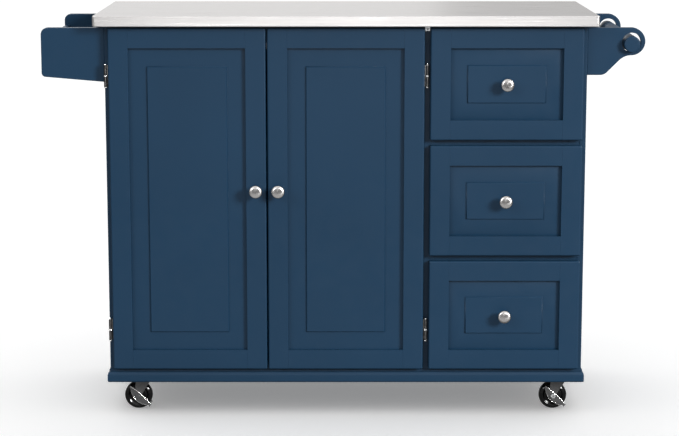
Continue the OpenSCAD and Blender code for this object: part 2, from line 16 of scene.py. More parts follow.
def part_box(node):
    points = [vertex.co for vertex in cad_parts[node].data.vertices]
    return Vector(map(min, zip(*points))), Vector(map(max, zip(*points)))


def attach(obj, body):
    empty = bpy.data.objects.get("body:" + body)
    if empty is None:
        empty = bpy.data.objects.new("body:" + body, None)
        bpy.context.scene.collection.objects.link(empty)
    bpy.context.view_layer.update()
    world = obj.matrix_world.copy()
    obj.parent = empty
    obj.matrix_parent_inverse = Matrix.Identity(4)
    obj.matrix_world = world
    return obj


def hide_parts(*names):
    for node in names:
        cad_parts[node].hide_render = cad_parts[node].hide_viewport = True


MM = 0.001
X, Y, Z = 0, 1, 2

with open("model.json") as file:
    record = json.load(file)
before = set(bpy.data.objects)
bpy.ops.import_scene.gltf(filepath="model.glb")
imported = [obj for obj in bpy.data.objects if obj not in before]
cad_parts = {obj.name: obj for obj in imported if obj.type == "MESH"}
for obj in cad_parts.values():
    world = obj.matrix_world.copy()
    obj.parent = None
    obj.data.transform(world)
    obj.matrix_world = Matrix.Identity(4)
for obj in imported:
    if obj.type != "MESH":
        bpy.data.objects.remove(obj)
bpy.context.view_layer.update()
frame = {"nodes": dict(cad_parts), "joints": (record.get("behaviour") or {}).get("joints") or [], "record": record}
record = frame["record"]
SLOT_OF = {part["node"]: part["material_slot"] for part in record["subparts"]}
BODY_OF = {node: body for body, nodes in record["behaviour"]["bodies"].items() for node in nodes}


# ---------------------------------------------------------------- camera, lights and floor

CAMERA_AT = (-0.00795, -4.7009, 1.2601)
CAMERA_PITCH = math.radians(10.114)
LENS_MM = 107.5228
SENSOR_MM = 36


def make_camera():
    """Where the photographer stood, as the worktop's perspective gives it."""
    data = bpy.data.cameras.new("camera")
    data.sensor_width = SENSOR_MM
    data.lens = LENS_MM
    data.clip_end = 100
    camera = bpy.data.objects.new("camera", data)
    camera.location = CAMERA_AT
    camera.rotation_euler = (math.pi / 2 - CAMERA_PITCH, 0, 0)
    bpy.context.scene.collection.objects.link(camera)
    bpy.context.scene.camera = camera


def area_light(name, at, aim, size, radiance, skip):
    """A softbox of that radiance, which leaves the objects in skip unlit."""
    data = bpy.data.lights.new(name, "AREA")
    data.shape = "RECTANGLE"
    data.size, data.size_y = size
    data.energy = radiance * math.pi * size[0] * size[1]
    light = bpy.data.objects.new(name, data)
    light.location = at
    light.rotation_euler = (Vector(aim) - Vector(at)).to_track_quat("-Z", "Y").to_euler()
    light.visible_camera = False
    bpy.context.scene.collection.objects.link(light)
    unlit = bpy.data.collections.new(name + " skips")
    for number, obj in enumerate(skip):
        unlit.objects.link(obj)
        unlit.collection_objects[number].light_linking.link_state = "EXCLUDE"
    light.light_linking.receiver_collection = unlit


def light_studio(floor, worktop, knobs):
    """Key from the right, fill from the left, and cards for the metal to mirror. The low card stands
    for the light that a white floor throws back."""
    area_light("key", (5.85, -5.55, 3.3), (0, -0.1, 0.5), (2.2, 2.2), 60, skip=[floor])
    area_light("left softbox", (-4.6, -4.6, 3.6), (0, -0.1, 0.5), (2.6, 2.6), 7.0, skip=[floor])
    area_light("back card", (-1.1, 4.0, 1.9), (-0.3, 0, 0.9), (3.2, 1.5), 0.42, skip=[floor])
    area_light("back softbox", (-3.5, 6.5, 3.6), (0, 0.2, 0.5), (2.6, 2.6), 12, skip=[floor, worktop])
    area_light("front card", (0.02, -3.2, 0.62), (0, -0.2, 0.9), (1.8, 0.5), 2.6, skip=[floor] + knobs)
    area_light("low card", (0, -1.0, 0.01), (0, -1.0, 1), (2.6, 1.2), 0.42, skip=[floor])


def make_world(horizon, zenith):
    """A white dome whose strength rises from the horizon to the zenith."""
    world = bpy.data.worlds.new("studio")
    world.use_nodes = True
    nodes, links = world.node_tree.nodes, world.node_tree.links
    nodes["Background"].inputs["Color"].default_value = (1, 1, 1, 1)
    height = nodes.new("ShaderNodeSeparateXYZ")
    links.new(nodes.new("ShaderNodeTexCoord").outputs["Generated"], height.inputs["Vector"])
    level = nodes.new("ShaderNodeMapRange")
    level.inputs["To Min"].default_value = horizon
    level.inputs["To Max"].default_value = zenith
    links.new(height.outputs["Z"], level.inputs["Value"])
    links.new(level.outputs["Result"], nodes["Background"].inputs["Strength"])
    bpy.context.scene.world = world


def make_floor():
    """A pale floor that takes the cart's shadow but lights and mirrors nothing."""
    half = 40
    mesh = bpy.data.meshes.new("floor")
    mesh.from_pydata([(-half, -half, 0), (half, -half, 0), (half, half, 0), (-half, half, 0)], [],
                     [(0, 1, 2, 3)])
    floor = bpy.data.objects.new("floor", mesh)
    mesh.materials.append(pale_surface("studio floor", glow=0.24))
    floor.visible_diffuse = False
    floor.visible_glossy = False
    bpy.context.scene.collection.objects.link(floor)
    return floor


def make_backdrop():
    """A white drum round the studio that only the camera sees, in front of the dome's dim horizon."""
    radius, height = 38, 30
    outline = circle((0, 0), radius, 64)
    shape = Shape()
    foot, top = [shape.ring([(x, y, z) for x, y in outline]) for z in (0, height)]
    shape.skin(foot, top)
    backdrop = shape.to_object("backdrop", pale_surface("studio backdrop", glow=1.0))
    backdrop.visible_diffuse = False
    backdrop.visible_glossy = False
    backdrop.visible_shadow = False


# ---------------------------------------------------------------- materials

class Shader:
    """A principled material and the few node patterns that the finishes are made of."""

    def __init__(self, name, color, roughness, metallic=0.0, **inputs):
        self.material = bpy.data.materials.new(name)
        self.material.use_nodes = True
        self.nodes = self.material.node_tree.nodes
        self.links = self.material.node_tree.links
        self.bsdf = self.nodes["Principled BSDF"]
        self.set(Base_Color=(*color, 1), Roughness=roughness, Metallic=metallic, **inputs)
        self.place = self.nodes.new("ShaderNodeTexCoord").outputs["Object"]
        self.normal = None

    def set(self, **inputs):
        for name, value in inputs.items():
            self.bsdf.inputs[name.replace("_", " ")].default_value = value

    def scaled(self, scale):
        """Object coordinates, stretched by scale on each axis."""
        mapping = self.nodes.new("ShaderNodeMapping")
        mapping.inputs["Scale"].default_value = scale
        self.links.new(self.place, mapping.inputs["Vector"])
        return mapping.outputs["Vector"]

    def noise(self, scale, detail=3.0, distortion=0.0):
        noise = self.nodes.new("ShaderNodeTexNoise")
        noise.inputs["Scale"].default_value = 1.0
        noise.inputs["Detail"].default_value = detail
        noise.inputs["Distortion"].default_value = distortion
        self.links.new(self.scaled(scale), noise.inputs["Vector"])
        return noise.outputs["Fac"]

    def spread(self, value, low, high, start=0.3, end=0.7):
        """Stretches the middle part of value over low to high."""
        remap = self.nodes.new("ShaderNodeMapRange")
        for name, number in (("From Min", start), ("From Max", end), ("To Min", low), ("To Max", high)):
            remap.inputs[name].default_value = number
        self.links.new(value, remap.inputs["Value"])
        return remap.outputs["Result"]

    def vary_roughness(self, value, low, high):
        self.links.new(self.spread(value, low, high), self.bsdf.inputs["Roughness"])

    def vary_color(self, value, dark, light):
        ramp = self.nodes.new("ShaderNodeValToRGB")
        ramp.color_ramp.elements[0].position = 0.3
        ramp.color_ramp.elements[1].position = 0.7
        ramp.color_ramp.elements[0].color = (*dark, 1)
        ramp.color_ramp.elements[1].color = (*light, 1)
        self.links.new(value, ramp.inputs["Fac"])
        self.links.new(ramp.outputs["Color"], self.bsdf.inputs["Base Color"])

    def bump(self, value, height):
        """Adds relief of that height, in metres, on top of what is there."""
        bump = self.nodes.new("ShaderNodeBump")
        bump.inputs["Distance"].default_value = height
        self.links.new(value, bump.inputs["Height"])
        if self.normal:
            self.links.new(self.normal, bump.inputs["Normal"])
        self.normal = bump.outputs["Normal"]
        self.links.new(self.normal, self.bsdf.inputs["Normal"])


def painted_wood():
    """Satin lacquer: orange peel, a faint grain below it and slightly uneven gloss."""
    base = (0.0060, 0.0268, 0.0572)
    shader = Shader("navy paint", base, 0.4, Specular_IOR_Level=0.22)
    cloud = shader.noise((3, 3, 3), detail=2)
    shader.vary_color(cloud, tuple(0.95 * c for c in base), tuple(1.05 * c for c in base))
    shader.vary_roughness(shader.noise((40, 40, 40)), 0.36, 0.46)
    shader.bump(shader.noise((900, 900, 60), detail=2), 0.00003)
    shader.bump(shader.noise((420, 420, 420), detail=1), 0.00004)
    return shader.material


def stainless():
    """Sheet brushed along X."""
    shader = Shader("stainless sheet", (0.76, 0.74, 0.73), 0.3, metallic=1.0)
    streak = shader.noise((3, 1400, 1400), detail=4)
    shader.vary_color(streak, (0.72, 0.70, 0.69), (0.80, 0.785, 0.775))
    shader.vary_roughness(shader.noise((8, 500, 500)), 0.26, 0.40)
    shader.bump(streak, 0.000012)
    return shader.material


def nickel():
    """Brushed nickel with a fine satin haze."""
    shader = Shader("brushed nickel", (0.54, 0.52, 0.51), 0.26, metallic=1.0, Anisotropic=0.75)
    around = shader.nodes.new("ShaderNodeTangent")
    around.direction_type = "RADIAL"
    around.axis = "Y"
    shader.links.new(around.outputs["Tangent"], shader.bsdf.inputs["Tangent"])
    fine = shader.noise((2600, 2600, 2600), detail=2)
    shader.vary_color(fine, (0.50, 0.485, 0.475), (0.58, 0.565, 0.555))
    shader.vary_roughness(shader.noise((300, 300, 300)), 0.24, 0.28)
    shader.bump(fine, 0.00001)
    return shader.material


def zinc():
    """Zinc plating with its faint spangle."""
    shader = Shader("zinc plating", (0.62, 0.63, 0.65), 0.4, metallic=0.8)
    spangle = shader.noise((160, 160, 160), detail=1)
    shader.vary_color(spangle, (0.56, 0.575, 0.59), (0.70, 0.71, 0.72))
    shader.vary_roughness(spangle, 0.30, 0.46)
    shader.bump(shader.noise((1500, 1500, 1500)), 0.00001)
    return shader.material


def bare_board():
    """Pale softwood with its rings drawn out along X."""
    shader = Shader("bare board", (0.55, 0.38, 0.22), 0.6)
    rings = shader.noise((2.2, 70, 70), detail=6, distortion=0.8)
    shader.vary_color(rings, (0.43, 0.28, 0.15), (0.62, 0.45, 0.28))
    pores = shader.noise((30, 1200, 1200))
    shader.vary_roughness(pores, 0.5, 0.7)
    shader.bump(pores, 0.00005)
    return shader.material


def catch_plastic():
    """Grey moulding with a fine spark-eroded texture."""
    shader = Shader("grey moulding", (0.30, 0.30, 0.31), 0.5)
    grit = shader.noise((900, 900, 900))
    shader.vary_color(grit, (0.27, 0.27, 0.28), (0.33, 0.33, 0.34))
    shader.vary_roughness(grit, 0.45, 0.6)
    shader.bump(grit, 0.00003)
    return shader.material


def nickel_painted_highlight():
    """Rings, tips and lever rims in nickel painted bright as a painted highlight, brighter than the handles."""
    shader = Shader("nickel with painted highlight", (0.9, 0.9, 0.89), 0.2, metallic=1.0)
    haze = shader.noise((900, 900, 900), detail=2)
    shader.vary_color(haze, (0.84, 0.84, 0.83), (0.95, 0.95, 0.94))
    shader.vary_roughness(haze, 0.14, 0.26)
    shader.bump(haze, 0.000005)
    return shader.material


def hinge_steel_painted_reflection():
    """Nickel painted dark all over as a painted reflection of dark surroundings, with a random mottle in its tone.
    """
    shader = Shader("hinge nickel with painted dark reflection", (0.14, 0.14, 0.14), 0.22, metallic=1.0)
    dark_reflection_mottle = shader.noise((420, 420, 160), detail=4)
    shader.vary_color(dark_reflection_mottle, (0.05, 0.05, 0.052), (0.17, 0.166, 0.162))
    shader.vary_roughness(dark_reflection_mottle, 0.30, 0.16)
    shader.bump(shader.noise((1500, 1500, 1500)), 0.00001)
    return shader.material


def caster_steel():
    """Dark zinc-nickel finish on pressed steel."""
    shader = Shader("caster steel", (0.12, 0.12, 0.12), 0.35, metallic=0.7)
    film = shader.noise((260, 260, 260), detail=4)
    shader.vary_color(film, (0.10, 0.10, 0.102), (0.15, 0.15, 0.152))
    shader.vary_roughness(film, 0.28, 0.42)
    shader.bump(shader.noise((1200, 1200, 1200)), 0.00002)
    return shader.material


def wheel_plastic():
    """Glossy black moulding, scuffed a little where it rolls."""
    shader = Shader("wheel moulding", (0.002, 0.002, 0.0022), 0.12, Specular_IOR_Level=0.4)
    scuff = shader.noise((180, 180, 180), detail=5)
    shader.vary_color(scuff, (0.0015, 0.0015, 0.0017), (0.003, 0.003, 0.0033))
    shader.vary_roughness(scuff, 0.08, 0.16)
    shader.bump(shader.noise((700, 700, 700)), 0.00001)
    return shader.material


def pale_surface(name, glow):
    """Matt white that gives off some light of its own."""
    shader = Shader(name, (0.94, 0.94, 0.94), 0.9, Specular_IOR_Level=0.2,
                    Emission_Color=(1, 1, 1, 1), Emission_Strength=glow)
    shader.vary_roughness(shader.noise((4, 4, 4)), 0.85, 0.95)
    return shader.material


MATERIALS = {
    "painted_wood": painted_wood(),
    "stainless": stainless(),
    "nickel": nickel(),
    "zinc": zinc(),
    "board": bare_board(),
    "catch_plastic": catch_plastic(),
    "caster_steel": caster_steel(),
    "wheel_plastic": wheel_plastic(),
}
# Two copies of the hinge nickel: one painted dark as a dark reflection, one painted bright as a highlight.
HINGE_STEEL_PAINTED_REFLECTION = hinge_steel_painted_reflection()
NICKEL_PAINTED_HIGHLIGHT = nickel_painted_highlight()


# ---------------------------------------------------------------- shapes

class Shape:
    """Vertices and faces in the CAD frame, with a rounding radius for some edges."""

    def __init__(self):
        self.verts = []
        self.faces = []
        self.rounding = {}

    def ring(self, points):
        """Adds a closed loop of points and returns their indices."""
        start = len(self.verts)
        self.verts += [tuple(p) for p in points]
        return list(range(start, len(self.verts)))

    def skin(self, a, b):
        """Quads between two rings of equal length."""
        n = len(a)
        self.faces += [(a[i], a[(i + 1) % n], b[(i + 1) % n], b[i]) for i in range(n)]

    def cap(self, ring, flip=False):
        self.faces.append(tuple(reversed(ring)) if flip else tuple(ring))

    def board(self, lo, hi, radius, sides=None):
        """A box. sides gives the rounding at single faces, such as {"-x": 0}: an edge takes the
        smaller rounding of its two faces."""
        radii = {sign + axis: radius for sign in "-+" for axis in "xyz"}
        radii.update(sides or {})
        corners = [[(lo, hi)[i][X], (lo, hi)[j][Y], (lo, hi)[k][Z]]
                   for k in (0, 1) for j in (0, 1) for i in (0, 1)]
        v = self.ring(corners)
        quads = ((0, 2, 3, 1), (4, 5, 7, 6), (0, 1, 5, 4), (2, 6, 7, 3), (0, 4, 6, 2), (1, 3, 7, 5))
        names = ("-z", "+z", "-y", "+y", "-x", "+x")
        self.faces += [tuple(v[i] for i in quad) for quad in quads]
        for a, quad_a in enumerate(quads):
            for b in range(a + 1, len(quads)):
                shared = set(quad_a) & set(quads[b])
                if len(shared) == 2:
                    edge = frozenset(v[i] for i in shared)
                    self.rounding[edge] = min(radii[names[a]], radii[names[b]])

    def stack(self, rings):
        """A closed body through a list of rings."""
        indices = [self.ring(points) for points in rings]
        for a, b in zip(indices, indices[1:]):
            self.skin(a, b)
        self.cap(indices[0], flip=True)
        self.cap(indices[-1])

    def turned(self, profile, at, axis, steps=48):
        """A turned part: profile is a list of (radius, height) along axis from at. Where it begins
        or ends off the axis it is closed round as a tube."""
        turn = Vector((0, 0, 1)).rotation_difference(Vector(axis)).to_matrix()
        at = Vector(at)
        rows = []
        for r, h in profile:
            count = 1 if r == 0 else steps
            angles = [2 * math.pi * i / steps for i in range(count)]
            rows.append(self.ring([at + turn @ Vector((r * math.cos(a), r * math.sin(a), h))
                                   for a in angles]))
        pairs = list(zip(rows, rows[1:]))
        if len(rows[0]) > 1:
            pairs.append((rows[-1], rows[0]))
        for a, b in pairs:
            for i in range(steps):
                j = (i + 1) % steps
                if len(a) == 1:
                    self.faces.append((a[0], b[j], b[i]))
                elif len(b) == 1:
                    self.faces.append((a[i], a[j], b[0]))
                else:
                    self.faces.append((a[i], a[j], b[j], b[i]))

    def plate(self, loops, y0, y1, radius, hole_radius=0.3 * MM, steps=3):
        """A plate from y0 to y1 whose outline is the first loop of (x, z), with a hole for each
        other loop. Its edges are rounded. The outline runs anticlockwise as seen from -Y."""
        angles = [math.pi / 2 * k / steps for k in range(steps + 1)]
        ends = []
        for n, loop in enumerate(loops):
            r = radius if n == 0 else hole_radius
            front = [(r * (1 - math.sin(a)), y0 + r * (1 - math.cos(a))) for a in angles]
            back = [(inset, y0 + y1 - y) for inset, y in reversed(front)]
            rings = [self.ring([(x, y, z) for x, z in offset_loop(loop, inset if n == 0 else -inset)])
                     for inset, y in front + back]
            for a, b in zip(rings, rings[1:]):
                if n == 0:
                    self.skin(b, a)
                else:
                    self.skin(a, b)
            ends.append((rings[0], rings[-1]))
        self.cover([end[0] for end in ends], -1)
        self.cover([end[1] for end in ends], 1)

    def cover(self, rings, side):
        """Flat faces over an outline ring less its hole rings, facing -Y or +Y."""
        if len(rings) == 1:
            self.cap(rings[0], flip=side > 0)
            return
        bm = bmesh.new()
        numbers = {}
        edges = []
        for ring in rings:
            verts = [bm.verts.new(self.verts[i]) for i in ring]
            numbers.update(zip(verts, ring))
            edges += [bm.edges.new((a, b)) for a, b in zip(verts, verts[1:] + verts[:1])]
        filled = bmesh.ops.triangle_fill(bm, edges=edges, use_beauty=True)["geom"]
        for face in (g for g in filled if isinstance(g, bmesh.types.BMFace)):
            face.normal_update()
            corners = [numbers[v] for v in face.verts]
            self.faces.append(tuple(corners if face.normal.y * side > 0 else reversed(corners)))
        bm.free()

    def moved(self, start, matrix):
        """Moves the vertices from index start on."""
        self.verts[start:] = [tuple(matrix @ Vector(v)) for v in self.verts[start:]]

    def to_object(self, name, material):
        mesh = bpy.data.meshes.new(name)
        mesh.from_pydata(self.verts, [], self.faces)
        mesh.materials.append(material)
        widest = max(self.rounding.values(), default=0)
        if widest > 0:
            weights = mesh.attributes.new("bevel_weight_edge", "FLOAT", "EDGE")
            for edge in mesh.edges:
                weights.data[edge.index].value = self.rounding.get(frozenset(edge.vertices), 0) / widest
        mesh.set_sharp_from_angle(angle=math.radians(40))
        obj = bpy.data.objects.new(name, mesh)
        bpy.context.scene.collection.objects.link(obj)
        if widest > 0:
            bevel = obj.modifiers.new("rounding", "BEVEL")
            bevel.limit_method = "WEIGHT"
            bevel.width = widest
            bevel.segments = 3
        for face in mesh.polygons:
            face.use_smooth = True
        normals = obj.modifiers.new("flat faces", "WEIGHTED_NORMAL")
        normals.keep_sharp = widest == 0
        return obj


def offset_loop(loop, distance):
    """Moves each side of an anticlockwise loop inwards by distance, with mitred corners."""
    n = len(loop)
    moved = []
    for i in range(n):
        before = Vector(loop[i]) - Vector(loop[i - 1])
        after = Vector(loop[(i + 1) % n]) - Vector(loop[i])
        a = Vector((-before.y, before.x)).normalized()
        b = Vector((-after.y, after.x)).normalized()
        mitre = (a + b).normalized()
        moved.append(tuple(Vector(loop[i]) + mitre * distance / max(mitre.dot(a), 0.3)))
    return moved


def arc(centre, radius, start, end, steps):
    """Points on an arc between two angles in degrees."""
    angles = [math.radians(start + (end - start) * i / steps) for i in range(steps + 1)]
    return [(centre[0] + radius * math.cos(a), centre[1] + radius * math.sin(a)) for a in angles]


def circle(centre, radius, steps):
    """A closed loop of points, without the first one again at the end."""
    return arc(centre, radius, 0, 360, steps)[:-1]


def rounded_rect(x0, x1, y0, y1, r, steps=6):
    """An anticlockwise rectangle with corners of radius r."""
    corners = (((x1 - r, y0 + r), -90), ((x1 - r, y1 - r), 0),
               ((x0 + r, y1 - r), 90), ((x0 + r, y0 + r), 180))
    return [p for centre, start in corners for p in arc(centre, r, start, start + 90, steps)]


def rod(r, length):
    """Profile of a plain round rod."""
    return [(0, 0), (r, 0), (r, length), (0, length)]


def screw(shape, seat, axis, r, h):
    """Pan head of radius r and height h with a round drive recess."""
    shape.turned([(0, 0), (r, 0), (r, 0.35 * h), (0.85 * r, 0.75 * h), (0.5 * r, h), (0.22 * r, h),
                  (0.12 * r, 0.5 * h), (0, 0.45 * h)], seat, axis, steps=24)


def joint_at(name):
    """A point on that joint's axis."""
    return next(joint for joint in frame["joints"] if joint["name"] == name)["pos_m"]


def solids(node):
    """The box of each separate solid in a CAD node, as (lowest corner, highest corner)."""
    bm = bmesh.new()
    bm.from_mesh(frame["nodes"][node].data)
    bmesh.ops.remove_doubles(bm, verts=bm.verts, dist=0.01 * MM)
    left = set(bm.verts)
    boxes = []
    while left:
        found = {left.pop()}
        edge_of = set(found)
        while edge_of:
            edge_of = {e.other_vert(v) for v in edge_of for e in v.link_edges} - found
            found |= edge_of
        left -= found
        boxes.append((Vector([min(v.co[i] for v in found) for i in range(3)]),
                      Vector([max(v.co[i] for v in found) for i in range(3)])))
    bm.free()
    return sorted(boxes, key=lambda box: tuple(round(c, 5) for c in (*box[0], *box[1])))


def finish(shape, node, suffix="piece", material=None):
    """Makes the shape a piece on node's body, in node's finish, that stands for the node."""
    slot = SLOT_OF[node]
    obj = shape.to_object(node + "-" + suffix, material or MATERIALS[slot])
    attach(obj, BODY_OF[node])
    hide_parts(node)
    return obj


def rebuild_boards(node, radius):
    """Every solid of a node is a plain board: build them again with rounded edges."""
    shape = Shape()
    for lo, hi in solids(node):
        shape.board(lo, hi, radius)
    finish(shape, node)


# ---------------------------------------------------------------- worktop

def make_worktop():
    """Folded sheet: a flat top, a rolled front edge and a hem turned in under the board."""
    lo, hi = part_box("worktop_skin")
    corner = 6 * MM
    top_r = 1.6 * MM
    bottom_r = 2.2 * MM
    sheet = 1.2 * MM
    hem = 15 * MM
    quarter = [math.pi / 2 * k / 4 for k in range(5)]
    outside = [(hem, lo.z)]
    outside += [(bottom_r * (1 - math.sin(a)), lo.z + bottom_r * (1 - math.cos(a))) for a in quarter]
    outside += [(top_r * (1 - math.cos(a)), hi.z - top_r * (1 - math.sin(a))) for a in quarter]
    inside = [(bottom_r, hi.z - 2 * sheet), (bottom_r, lo.z + 2 * sheet), (hem, lo.z + 2 * sheet)]
    shape = Shape()
    rows = [shape.ring([(*p, z) for p in rounded_rect(lo.x + inset, hi.x - inset, lo.y + inset,
                                                      hi.y - inset, max(corner - inset, 1 * MM))])
            for inset, z in inside + outside]
    for a, b in zip(rows, rows[1:]):
        shape.skin(a, b)
    shape.cap(rows[-1])
    shape.cap(rows[0], flip=True)
    return finish(shape, "worktop_skin")


def make_clip():
    """Angle clip under the worktop's edge, held by one screw."""
    lo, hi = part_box("worktop_clip")
    t = 1.2 * MM
    head = 0.6 * (hi.z - lo.z)
    shape = Shape()
    shape.board((lo.x, hi.y - t, lo.z), hi, 0.4 * MM)
    shape.board((lo.x, lo.y, hi.z - t), (hi.x, hi.y - t / 2, hi.z), 0.4 * MM)
    screw(shape, ((lo.x + hi.x) / 2, hi.y - t, hi.z - head), (0, -1, 0), 2.6 * MM, 1.6 * MM)
    finish(shape, "worktop_clip")


# ---------------------------------------------------------------- cabinet

def moulding_profile(t, h):
    """(outwards, up) points: rounded foot, flat face, sloping shoulder, quirk and fillet."""
    foot = 4 * MM
    slope = 12 * MM
    lead = 2.5 * MM
    points = [(0, 0), (t - foot, 0)]
    points += arc((t - foot, foot), foot, -80, 0, 4)
    points += [(t, h - slope - lead / 2), (t - 0.25 * lead, h - slope + lead / 2)]
    points += [(0.78 * t, h - 0.68 * slope), (0.6 * t, h - 0.5 * slope)]
    points += [(0.2 * t, h - 0.47 * slope), (0.2 * t, h - 0.27 * slope), (0.4 * t, h - 0.25 * slope)]
    points += [(0.36 * t, h - 0.5 * MM), (0.28 * t, h), (0, h)]
    return points


def make_base_moulding():
    """Four strips, mitred at the corners of the cabinet."""
    lo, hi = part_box("base_moulding")
    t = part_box("side_left")[0].x - lo.x
    profile = moulding_profile(t, hi.z - lo.z)
    seam = 0.05 * MM
    centre = (lo + hi) / 2
    size = hi - lo
    shape = Shape()
    for turn in range(4):
        width, depth = (size.x, size.y) if turn % 2 == 0 else (size.y, size.x)
        start = len(shape.verts)
        ends = [[(side * (width / 2 - t + out - seam), -(depth / 2 - t + out), up) for out, up in profile]
                for side in (1, -1)]
        shape.stack(ends)
        spin = Matrix.Rotation(turn * math.pi / 2, 4, "Z")
        shape.moved(start, Matrix.Translation((centre.x, centre.y, lo.z)) @ spin)
    finish(shape, "base_moulding")


def make_cabinet():
    """Every plain board of the carcase, and the moulding round its foot."""
    for node in ("side_left", "side_right"):
        rebuild_boards(node, 1.5 * MM)
    for node in ("back_panel", "divider", "bottom_panel", "shelf", "face_rails", "face_stiles"):
        rebuild_boards(node, 0.6 * MM)
    for node in ("stretchers", "caster_blocks", "slide_cleats"):
        rebuild_boards(node, 0.8 * MM)
    make_base_moulding()


def make_catch():
    """Two magnets between steel cheeks in a moulded case."""
    lo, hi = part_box("magnetic_catch")
    proud = 2 * MM
    rim = 4 * MM
    cheek_w = 18 * MM
    shape = Shape()
    shape.board((lo.x, lo.y + proud, lo.z), hi, 1.5 * MM)
    for x in (lo.x + rim, hi.x - rim - cheek_w):
        shape.board((x, lo.y, lo.z + 3 * MM),
                    (x + cheek_w, lo.y + proud + 0.5 * MM, hi.z - 3 * MM), 0.4 * MM)
    finish(shape, "magnetic_catch")


# ---------------------------------------------------------------- doors and drawer fronts

EDGE_R = 3.6 * MM
INNER_R = 0.15 * MM
HAIRLINE = 0.08 * MM
RECESS = 8 * MM
DOOR_MARGIN = 40.8 * MM
DRAWER_MARGIN = 37.8 * MM


def framed(shape, boxes, lo, hi):
    """Stiles and rails: rounded all round the outside, crisp towards the panel, flush at the joints."""
    for a, b in boxes:
        if b.z - a.z > 0.99 * (hi.z - lo.z):
            inner = "+x" if a.x - lo.x < hi.x - b.x else "-x"
            shape.board(a, b, EDGE_R, {inner: INNER_R, "+y": INNER_R})
        else:
            inner = "-z" if hi.z - b.z < a.z - lo.z else "+z"
            shape.board(a, b, EDGE_R, {inner: INNER_R, "+y": INNER_R, "-x": HAIRLINE, "+x": HAIRLINE})


def rect_ring(x0, x1, z0, z1, inset, y):
    """Four corners of an upright rectangle at depth y, drawn in by inset."""
    return [(x0 + inset, y, z0 + inset), (x1 - inset, y, z0 + inset),
            (x1 - inset, y, z1 - inset), (x0 + inset, y, z1 - inset)]


def raised_panel(shape, lo, hi, floor_y, margin):
    """A panel whose field stands up from its floor on four sloping shoulders."""
    shoulder = 1.7 * MM
    lip = 0.3 * MM
    rise = floor_y - lo.y
    steps = [(0, hi.y), (0, floor_y), (margin - lip, floor_y), (margin, floor_y - lip / 2),
             (margin + shoulder - lip, floor_y - rise + lip), (margin + shoulder, lo.y)]
    shape.stack([rect_ring(lo.x, hi.x, lo.z, hi.z, inset, y) for inset, y in steps])


def make_door(side):
    """Frame, raised panel and the strike plate of the catch."""
    name = "door_" + side
    lo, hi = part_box(name + "_frame")
    shape = Shape()
    framed(shape, solids(name + "_frame"), lo, hi)
    finish(shape, name + "_frame")
    shape = Shape()
    panel_lo, panel_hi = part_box(name + "_panel")
    raised_panel(shape, panel_lo, panel_hi, lo.y + RECESS, DOOR_MARGIN)
    finish(shape, name + "_panel")
    rebuild_boards(name + "_strike", 0.3 * MM)


def make_drawer(number):
    """Front, of four frame boards and a raised panel, and the box behind it."""
    name = "drawer_%d" % number
    lo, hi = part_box(name + "_front")
    boxes = sorted(solids(name + "_front"), key=lambda box: box[0].y)
    panel_lo, panel_hi = boxes.pop()
    shape = Shape()
    framed(shape, boxes, lo, hi)
    raised_panel(shape, panel_lo, panel_hi, lo.y + RECESS, DRAWER_MARGIN)
    finish(shape, name + "_front")
    rebuild_boards(name + "_box", 0.8 * MM)


def make_knob(node):
    """Mushroom knob turned from bar: a flared foot, a waist and a broad face with a soft dome."""
    lo, hi = max(solids(node), key=lambda box: box[1].x - box[0].x)
    r = (hi.x - lo.x) / 2
    length = hi.y - lo.y
    profile = [(0, 0), (0.50, 0), (0.50, 0.06), (0.44, 0.12), (0.34, 0.22), (0.30, 0.34), (0.32, 0.46),
               (0.42, 0.56), (0.66, 0.62), (0.90, 0.67), (0.98, 0.71), (1.0, 0.76), (0.985, 0.81),
               (0.93, 0.86), (0.80, 0.915), (0.62, 0.955), (0.42, 0.98), (0.2, 0.996), (0, 1)]
    shape = Shape()
    at = ((lo.x + hi.x) / 2, hi.y, (lo.z + hi.z) / 2)
    shape.turned([(u * r, v * length) for u, v in profile], at, (0, -1, 0), steps=64)
    head_h = 2 * MM
    seat_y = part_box(node)[1].y - head_h
    shape.turned(rod(1.9 * MM, seat_y - hi.y), at, (0, 1, 0), steps=16)
    screw(shape, (at[0], seat_y, at[2]), (0, 1, 0), 4 * MM, head_h)
    return finish(shape, node)


# ---------------------------------------------------------------- hinges

BARREL_R = 4 * MM
LEAF_T = 0.9 * MM
KNUCKLE_GAP = 0.15 * MM
RING_H = 1.6 * MM
LEAF_FOOT = 14 * MM


def knuckle(shape, rings, x, y, z0, z1, ring_z):
    """A rolled knuckle, and a half-round ring about it that ends at ring_z."""
    r = BARREL_R
    length = z1 - z0
    shape.turned([(0.42 * r, 0), (0.8 * r, 0), (0.86 * r, 0.4 * MM), (0.86 * r, length - 0.4 * MM),
                  (0.8 * r, length), (0.42 * r, length)], (x, y, z0), (0, 0, 1), steps=32)
    h = RING_H
    rings.turned([(0.84 * r, 0), (0.93 * r, 0.1 * h), (r, 0.35 * h), (r, 0.65 * h), (0.93 * r, 0.9 * h),
                  (0.84 * r, h)], (x, y, ring_z), (0, 0, 1), steps=32)


def finial(shape, x, y, z, up):
    """Ball tip on a collar at the end of the pin."""
    r = BARREL_R
    shape.turned([(0, 0), (0.9 * r, 0), (0.95 * r, 0.4 * MM), (0.6 * r, 0.9 * MM), (0.55 * r, 1.2 * MM),
                  (0.68 * r, 1.7 * MM), (0.66 * r, 2.2 * MM), (0.4 * r, 2.8 * MM), (0, 3.0 * MM)],
                 (x, y, z), (0, 0, up), steps=24)


def hinge_axes(side):
    """(x, y, lowest z, highest z) of a door's two hinge barrels."""
    x, y = joint_at("door_%s_hinge" % side)[:2]
    return [(x, y, lo.z, hi.z) for lo, hi in solids("door_%s_hinge_leaves" % side)]


